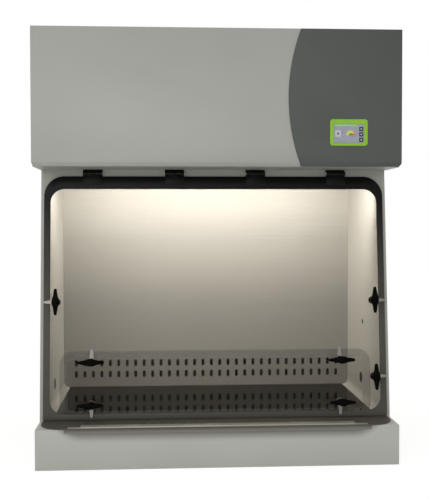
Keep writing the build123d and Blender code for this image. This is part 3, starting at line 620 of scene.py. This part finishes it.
def knob(stud_end):
    """One wing knob about its own pivot, with Z outwards from the window."""
    shape = wing_bar()
    hub_top = boss_half * hub_top_share
    fuse(shape, round_rod("hub", hub_foot, hub_top, knob_seat, wing_low + shell_overlap, hub_edge))
    collar_radii = (hub_foot + collar_foot_over, hub_foot + collar_top_over)
    fuse(shape, round_rod("collar", *collar_radii, knob_seat, knob_seat + collar_height, collar_edge))
    stud = round_rod("stud", stud_radius, stud_radius, stud_end, knob_seat + shell_overlap, vertices=20)
    fuse(shape, stud)
    washer_top = stud_end + washer_height
    fuse(shape, round_rod("washer", washer_radius, washer_radius, stud_end, washer_top, washer_edge))
    return shape


joint_of = {joint["name"]: joint for joint in frame["joints"]}
outward = Vector(joint_of["latch_turn_left"]["axis"]).normalized()
across = Vector((1, 0, 0))
window_axes = Matrix((across, outward.cross(across), outward)).transposed().to_4x4()
knob_black = moulded("knob_moulding", knob_shade, roughness=0.5, sheen=0.03)

# The latches of the lower cover have a longer stud, which reaches through both sheets
outer_knob = knob(outer_stud_end)
cover_knob = knob(cover_stud_end)
for latch, degrees in latch_turn.items():
    pivot = Vector(joint_of[f"latch_turn_{latch}"]["pos_m"])
    turn = Matrix.Rotation(math.radians(degrees), 4, "Z")
    shape = cover_knob if "cover" in latch else outer_knob
    wing = place_copy(f"wing_knob_{latch}", shape.data)
    wing.data.transform(Matrix.Translation(pivot) @ window_axes @ turn)
    show_instead(wing, f"latch_wing_{latch}", f"latch_{latch}", knob_black, degrees=40)
for shape in (outer_knob, cover_knob):
    bpy.data.objects.remove(shape)


# Window hinges
# Four black coated butt hinges. The upper leaves are fixed on the strip above the window and the lower
# leaves on its frame.

hinge_shade = (12, 11, 10)
hinge_edge = 0.0005

hinge_black = powder_coat("hinge_coat", hinge_shade, drift=2, roughness=0.4, sheen=0.12)
eased_copy("hinge_fixed_leaves", "upper_leaves", "cabinet", hinge_black, hinge_edge)
eased_copy("hinge_window_leaves", "lower_leaves", "window", hinge_black, hinge_edge)


# Hood front
# One folded steel front, painted light grey, with a narrow slanted fold along its foot. It closes the
# front of the hood's shell.

hood_edge = 0.0012
hood_front_coat = powder_coat("hood_front_coat", cabinet_grey)
eased_copy("hood_front_panel", "hood_front", "cabinet", hood_front_coat, hood_edge)


# Dark control cover
# Folded sheet in dark grey textured paint, fixed over the right end of the hood's front. Its left edge
# is arched, and all its edges are eased.

cover_grey = (82, 86, 84)
cover_edge = 0.0009
cover_coat = powder_coat("cover_coat", cover_grey, drift=2, roughness=0.5, sheen=0.15)
eased_copy("control_panel_cover", "control_cover", "cabinet", cover_coat, cover_edge)


# Display
# A green moulded bezel round a flat display window. The display shows a generic status screen: a pale bar
# along its top, a square icon, a half-round gauge and three square keys.

bezel_green = (134, 184, 46)
bezel_edge = 0.0009
screen_grey = (148, 152, 166)

bezel_finish = moulded("bezel_moulding", bezel_green, roughness=0.32)
eased_copy("display_bezel", "bezel", "cabinet", bezel_finish, bezel_edge)
screen_finish = finish("display_window", screen_grey, roughness=0.15)
pixels = grain(screen_finish, scale=40, stretch=(1, 1, 2))
tint(screen_finish, pixels, shifted(screen_grey, -5), shifted(screen_grey, 5))
gloss(screen_finish, grain(screen_finish, scale=30), low=0.1, high=0.2)
coat_nodes(screen_finish, "display_screen")

bezel_low, bezel_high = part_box("display_bezel")
bezel_x = (bezel_low.x + bezel_high.x) / 2
bezel_z = (bezel_low.z + bezel_high.z) / 2
screen_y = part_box("display_screen")[0].y
tile_height = 0.0003
tile_corner = 0.0008
icon_x = -0.033
icon_z = -0.0035
key_x = 0.0365
key_levels = (0.0105, -0.0055, -0.0215)
key_size = 0.0125
key_mark_size = 0.0045
bar_green = (150, 200, 120)
icon_grey = (186, 188, 196)
icon_mark_grey = (96, 98, 104)
key_black = (14, 16, 15)
key_mark_grey = (176, 182, 178)


def layer_depth(layer):
    """How far forward the middle of a printed layer lies."""
    return screen_y - tile_height * (layer + 0.5)


def dress_tile(tile, colour):
    ink = finish(tile.name + "_ink", colour, roughness=0.3)
    tint(ink, grain(ink, scale=300), shifted(colour, -4), shifted(colour, 4))
    tile.data.materials.append(ink)
    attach(tile, "cabinet")


def screen_tile(name, x, z, width, height, colour, layer=0):
    """A thin printed field on the display, placed from the middle of the bezel."""
    clear_selection()
    bpy.ops.mesh.primitive_cube_add(size=1, location=(bezel_x + x, layer_depth(layer), bezel_z + z))
    tile = new_piece(name)
    bpy.ops.transform.resize(value=(width, tile_height, height))
    settle(tile)
    eased = tile.modifiers.new("round corners", "BEVEL")
    eased.width = tile_corner
    eased.segments = 3
    eased.limit_method = "WEIGHT"
    weights = tile.data.attributes.new("bevel_weight_edge", "FLOAT", "EDGE")
    for edge in tile.data.edges:
        first, second = (tile.data.vertices[index].co for index in edge.vertices)
        weights.data[edge.index].value = 1.0 if abs((first - second).y) > tile_height / 2 else 0.0
    apply_modifier(tile, eased)
    dress_tile(tile, colour)


screen_tile("status_bar", x=-0.010, z=0.0212, width=0.066, height=0.0045, colour=bar_green)
screen_tile("icon_tile", icon_x, icon_z, width=0.017, height=0.019, colour=icon_grey)
screen_tile("icon_mark", icon_x, icon_z, width=0.006, height=0.007, colour=icon_mark_grey, layer=1)
for index, level in enumerate(key_levels):
    screen_tile(f"key_{index}", key_x, level, key_size, key_size, key_black)
    screen_tile(f"key_mark_{index}", key_x, level, key_mark_size, key_mark_size, key_mark_grey, layer=1)

gauge_right = 0.005
gauge_drop = 0.008
gauge_x = bezel_x + gauge_right
gauge_z = bezel_z - gauge_drop
gauge_radius = 0.0145
gauge_hub_radius = 0.0055
needle_length = 0.0135
gauge_yellow = (196, 204, 96)
gauge_orange = (214, 160, 92)
gauge_hub_brown = (120, 110, 92)
needle_brown = (60, 52, 44)


def gauge_sector(name, start, end, radius, colour, layer):
    """A thin sector of the gauge between two angles about its hub."""
    clear_selection()
    middle = (gauge_x, layer_depth(layer), gauge_z)
    bpy.ops.mesh.primitive_cylinder_add(
        vertices=72, radius=radius, depth=tile_height, end_fill_type="TRIFAN",
        location=middle, rotation=(math.radians(90), 0, 0),
    )
    sector = new_piece(name)
    settle(sector)
    for angle, inner in ((start, False), (end, True)):
        only(sector)
        bpy.ops.object.mode_set(mode="EDIT")
        bpy.ops.mesh.select_all(action="SELECT")
        turn = math.radians(angle)
        bpy.ops.mesh.bisect(
            plane_co=middle, plane_no=(-math.sin(turn), 0, math.cos(turn)),
            use_fill=True, clear_inner=not inner, clear_outer=inner,
        )
        bpy.ops.object.mode_set(mode="OBJECT")
    dress_tile(sector, colour)


gauge_sector("gauge_ok", start=60, end=180, radius=gauge_radius, colour=gauge_yellow, layer=0)
gauge_sector("gauge_low", start=0, end=60, radius=gauge_radius, colour=gauge_orange, layer=0)
gauge_sector("gauge_hub", start=0, end=180, radius=gauge_hub_radius, colour=gauge_hub_brown, layer=1)
gauge_sector("gauge_needle", start=8, end=18, radius=needle_length, colour=needle_brown, layer=2)


# Filters and lamp
# Pleated glass-fibre packs in plain aluminium frames, a white slotted diffuser, and a white lamp channel
# with its tube, which is lit.

filter_grey = (188, 189, 188)
media_cream = (232, 231, 222)
media_tones = ((222, 221, 210), (238, 237, 230))
enamel_white = (236, 234, 226)
tube_white = (250, 248, 238)
tube_tones = ((244, 242, 230), (252, 251, 244))
tube_light = (255, 246, 226)
tube_strength = 3.0

coat_nodes(drawn_steel("filter_frame_metal", filter_grey, roughness=0.45), "supply_filter")
coat_nodes(drawn_steel("exhaust_frame_metal", filter_grey, roughness=0.45), "exhaust_filter")
media = finish("filter_media", media_cream, roughness=0.95)
tint(media, grain(media, scale=200, stretch=(1, 0.1, 1)), *media_tones)
relief(media, grain(media, scale=350), strength=0.5, height=0.0004)
coat_nodes(media, "supply_filter_pack", "exhaust_filter_pack")
white_paint = powder_coat("white_stove_enamel", enamel_white, roughness=0.35)
coat_nodes(white_paint, "ceiling_diffuser", "lamp_fixture")
tube_glass = finish("lamp_tube_glass", tube_white, roughness=0.3)
tint(tube_glass, grain(tube_glass, scale=30), *tube_tones)
shader_of(tube_glass).inputs["Emission Color"].default_value = linear(tube_light)
shader_of(tube_glass).inputs["Emission Strength"].default_value = tube_strength
coat_nodes(tube_glass, "lamp_tube")


# Fan, plenum and electronics
# Galvanised plenum, scroll and tray, a moulded fan wheel, a black motor, and a green circuit board
# beside its power supply.

zinc_grey = (176, 179, 181)
zinc_tones = ((164, 168, 171), (188, 190, 191))
fan_grey = (52, 52, 56)
board_green = (26, 92, 46)

zinc = finish("galvanised_sheet", zinc_grey, roughness=0.42, metallic=0.7)
spangle = add_node(zinc, "ShaderNodeTexVoronoi", Scale=90.0)
join(zinc, own_place(zinc), spangle.inputs["Vector"])
tint(zinc, spangle.outputs["Distance"], *zinc_tones, low=0.1, high=0.6)
gloss(zinc, spangle.outputs["Distance"], low=0.34, high=0.52)
coat_nodes(zinc, "plenum_box", "fan_housing", "electronics_tray", "power_supply")
coat_nodes(moulded("fan_moulding", fan_grey, roughness=0.4), "fan_impeller")
coat_nodes(black_moulding, "fan_motor")
coat_nodes(moulded("circuit_board", board_green, roughness=0.35), "control_board")


# Floor, light and camera
# A plain pale floor, a soft key over the front and an even sky. The lamp under the hood lights the chamber.

pure_white = (1, 1, 1, 1)
floor_grey = (236, 236, 234)
floor_size = 14
floor_middle = (0, 2, 0)
floor_glow = 1.2
floor_glow_share = 0.7
sky_tone = (1.0, 0.99, 0.97, 1)
sky_strength = 0.66
tube_to_light = 0.018
baffle_target = 0.28


def seen_directly(material):
    """A share of 1 where the camera, a mirror or glass looks at a surface, and else 0."""
    path = add_node(material, "ShaderNodeLightPath")
    seen = maths(material, "MAXIMUM", path.outputs["Is Camera Ray"], path.outputs["Is Glossy Ray"])
    return maths(material, "MAXIMUM", seen, path.outputs["Is Transmission Ray"])


def blend_shaders(material, share, first, second, target):
    """Sends a blend of two shaders to an input."""
    blend = add_node(material, "ShaderNodeMixShader")
    join(material, share, blend.inputs["Fac"])
    join(material, first, blend.inputs[1])
    join(material, second, blend.inputs[2])
    join(material, blend.outputs["Shader"], target)


clear_selection()
bpy.ops.mesh.primitive_plane_add(size=floor_size, location=floor_middle)
floor = new_piece("studio_floor")
floor_paint = finish("floor_paint", floor_grey, roughness=0.8)
tint(floor_paint, grain(floor_paint, scale=1.5), shifted(floor_grey, -2), shifted(floor_grey, 2))
glow = add_node(floor_paint, "ShaderNodeEmission", Color=pure_white, Strength=floor_glow)
blend_shaders(
    floor_paint, maths(floor_paint, "MULTIPLY", seen_directly(floor_paint), floor_glow_share),
    shader_of(floor_paint).outputs["BSDF"], glow.outputs["Emission"],
    floor_paint.node_tree.nodes["Material Output"].inputs["Surface"],
)
floor.data.materials.append(floor_paint)

world = bpy.data.worlds.new("studio_sky")
bpy.context.scene.world = world
world.use_nodes = True
sky_light = world.node_tree.nodes["Background"]
sky_light.inputs["Color"].default_value = sky_tone
sky_light.inputs["Strength"].default_value = sky_strength
white = add_node(world, "ShaderNodeBackground", Color=pure_white, Strength=1.0)
blend_shaders(
    world, seen_directly(world), sky_light.outputs["Background"], white.outputs["Background"],
    world.node_tree.nodes["World Output"].inputs["Surface"],
)


def area_light(name, place, target, width, height, power, colour):
    """A soft rectangular lamp aimed at a point."""
    data = bpy.data.lights.new(name, "AREA")
    data.shape = "RECTANGLE"
    data.size = width
    data.size_y = height
    data.energy = power
    data.color = colour
    lamp = bpy.data.objects.new(name, data)
    bpy.context.scene.collection.objects.link(lamp)
    lamp.location = place
    lamp.rotation_euler = (Vector(target) - Vector(place)).to_track_quat("-Z", "Y").to_euler()


area_light(
    "front_key", place=(-1.2, -3.8, 1.5), target=(0, 0, 0.6),
    width=2.6, height=1.8, power=40, colour=(1.0, 0.995, 0.985),
)
tube_low, tube_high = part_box("lamp_tube")
lamp_y = (tube_low.y + tube_high.y) / 2
lamp_z = tube_low.z - tube_to_light
area_light(
    "chamber_lamp", place=(0, lamp_y, lamp_z), target=(0, baffle_target, lamp_z),
    width=0.88, height=0.02, power=6.5, colour=(1.0, 0.98, 0.945),
)

camera_place = (-0.1735, -3.0126, 0.7281)
camera_down = 0.0319
camera_roll = 0.0015
camera_turn = -0.0611
camera_data = bpy.data.cameras.new("camera")
camera_data.lens = 64.46
camera_data.sensor_width = 36
camera = bpy.data.objects.new("camera", camera_data)
bpy.context.scene.collection.objects.link(camera)
camera.location = camera_place
camera.rotation_euler = (math.pi / 2 - camera_down, camera_roll, camera_turn)
bpy.context.scene.camera = camera
bpy.context.scene.view_settings.view_transform = "Standard"
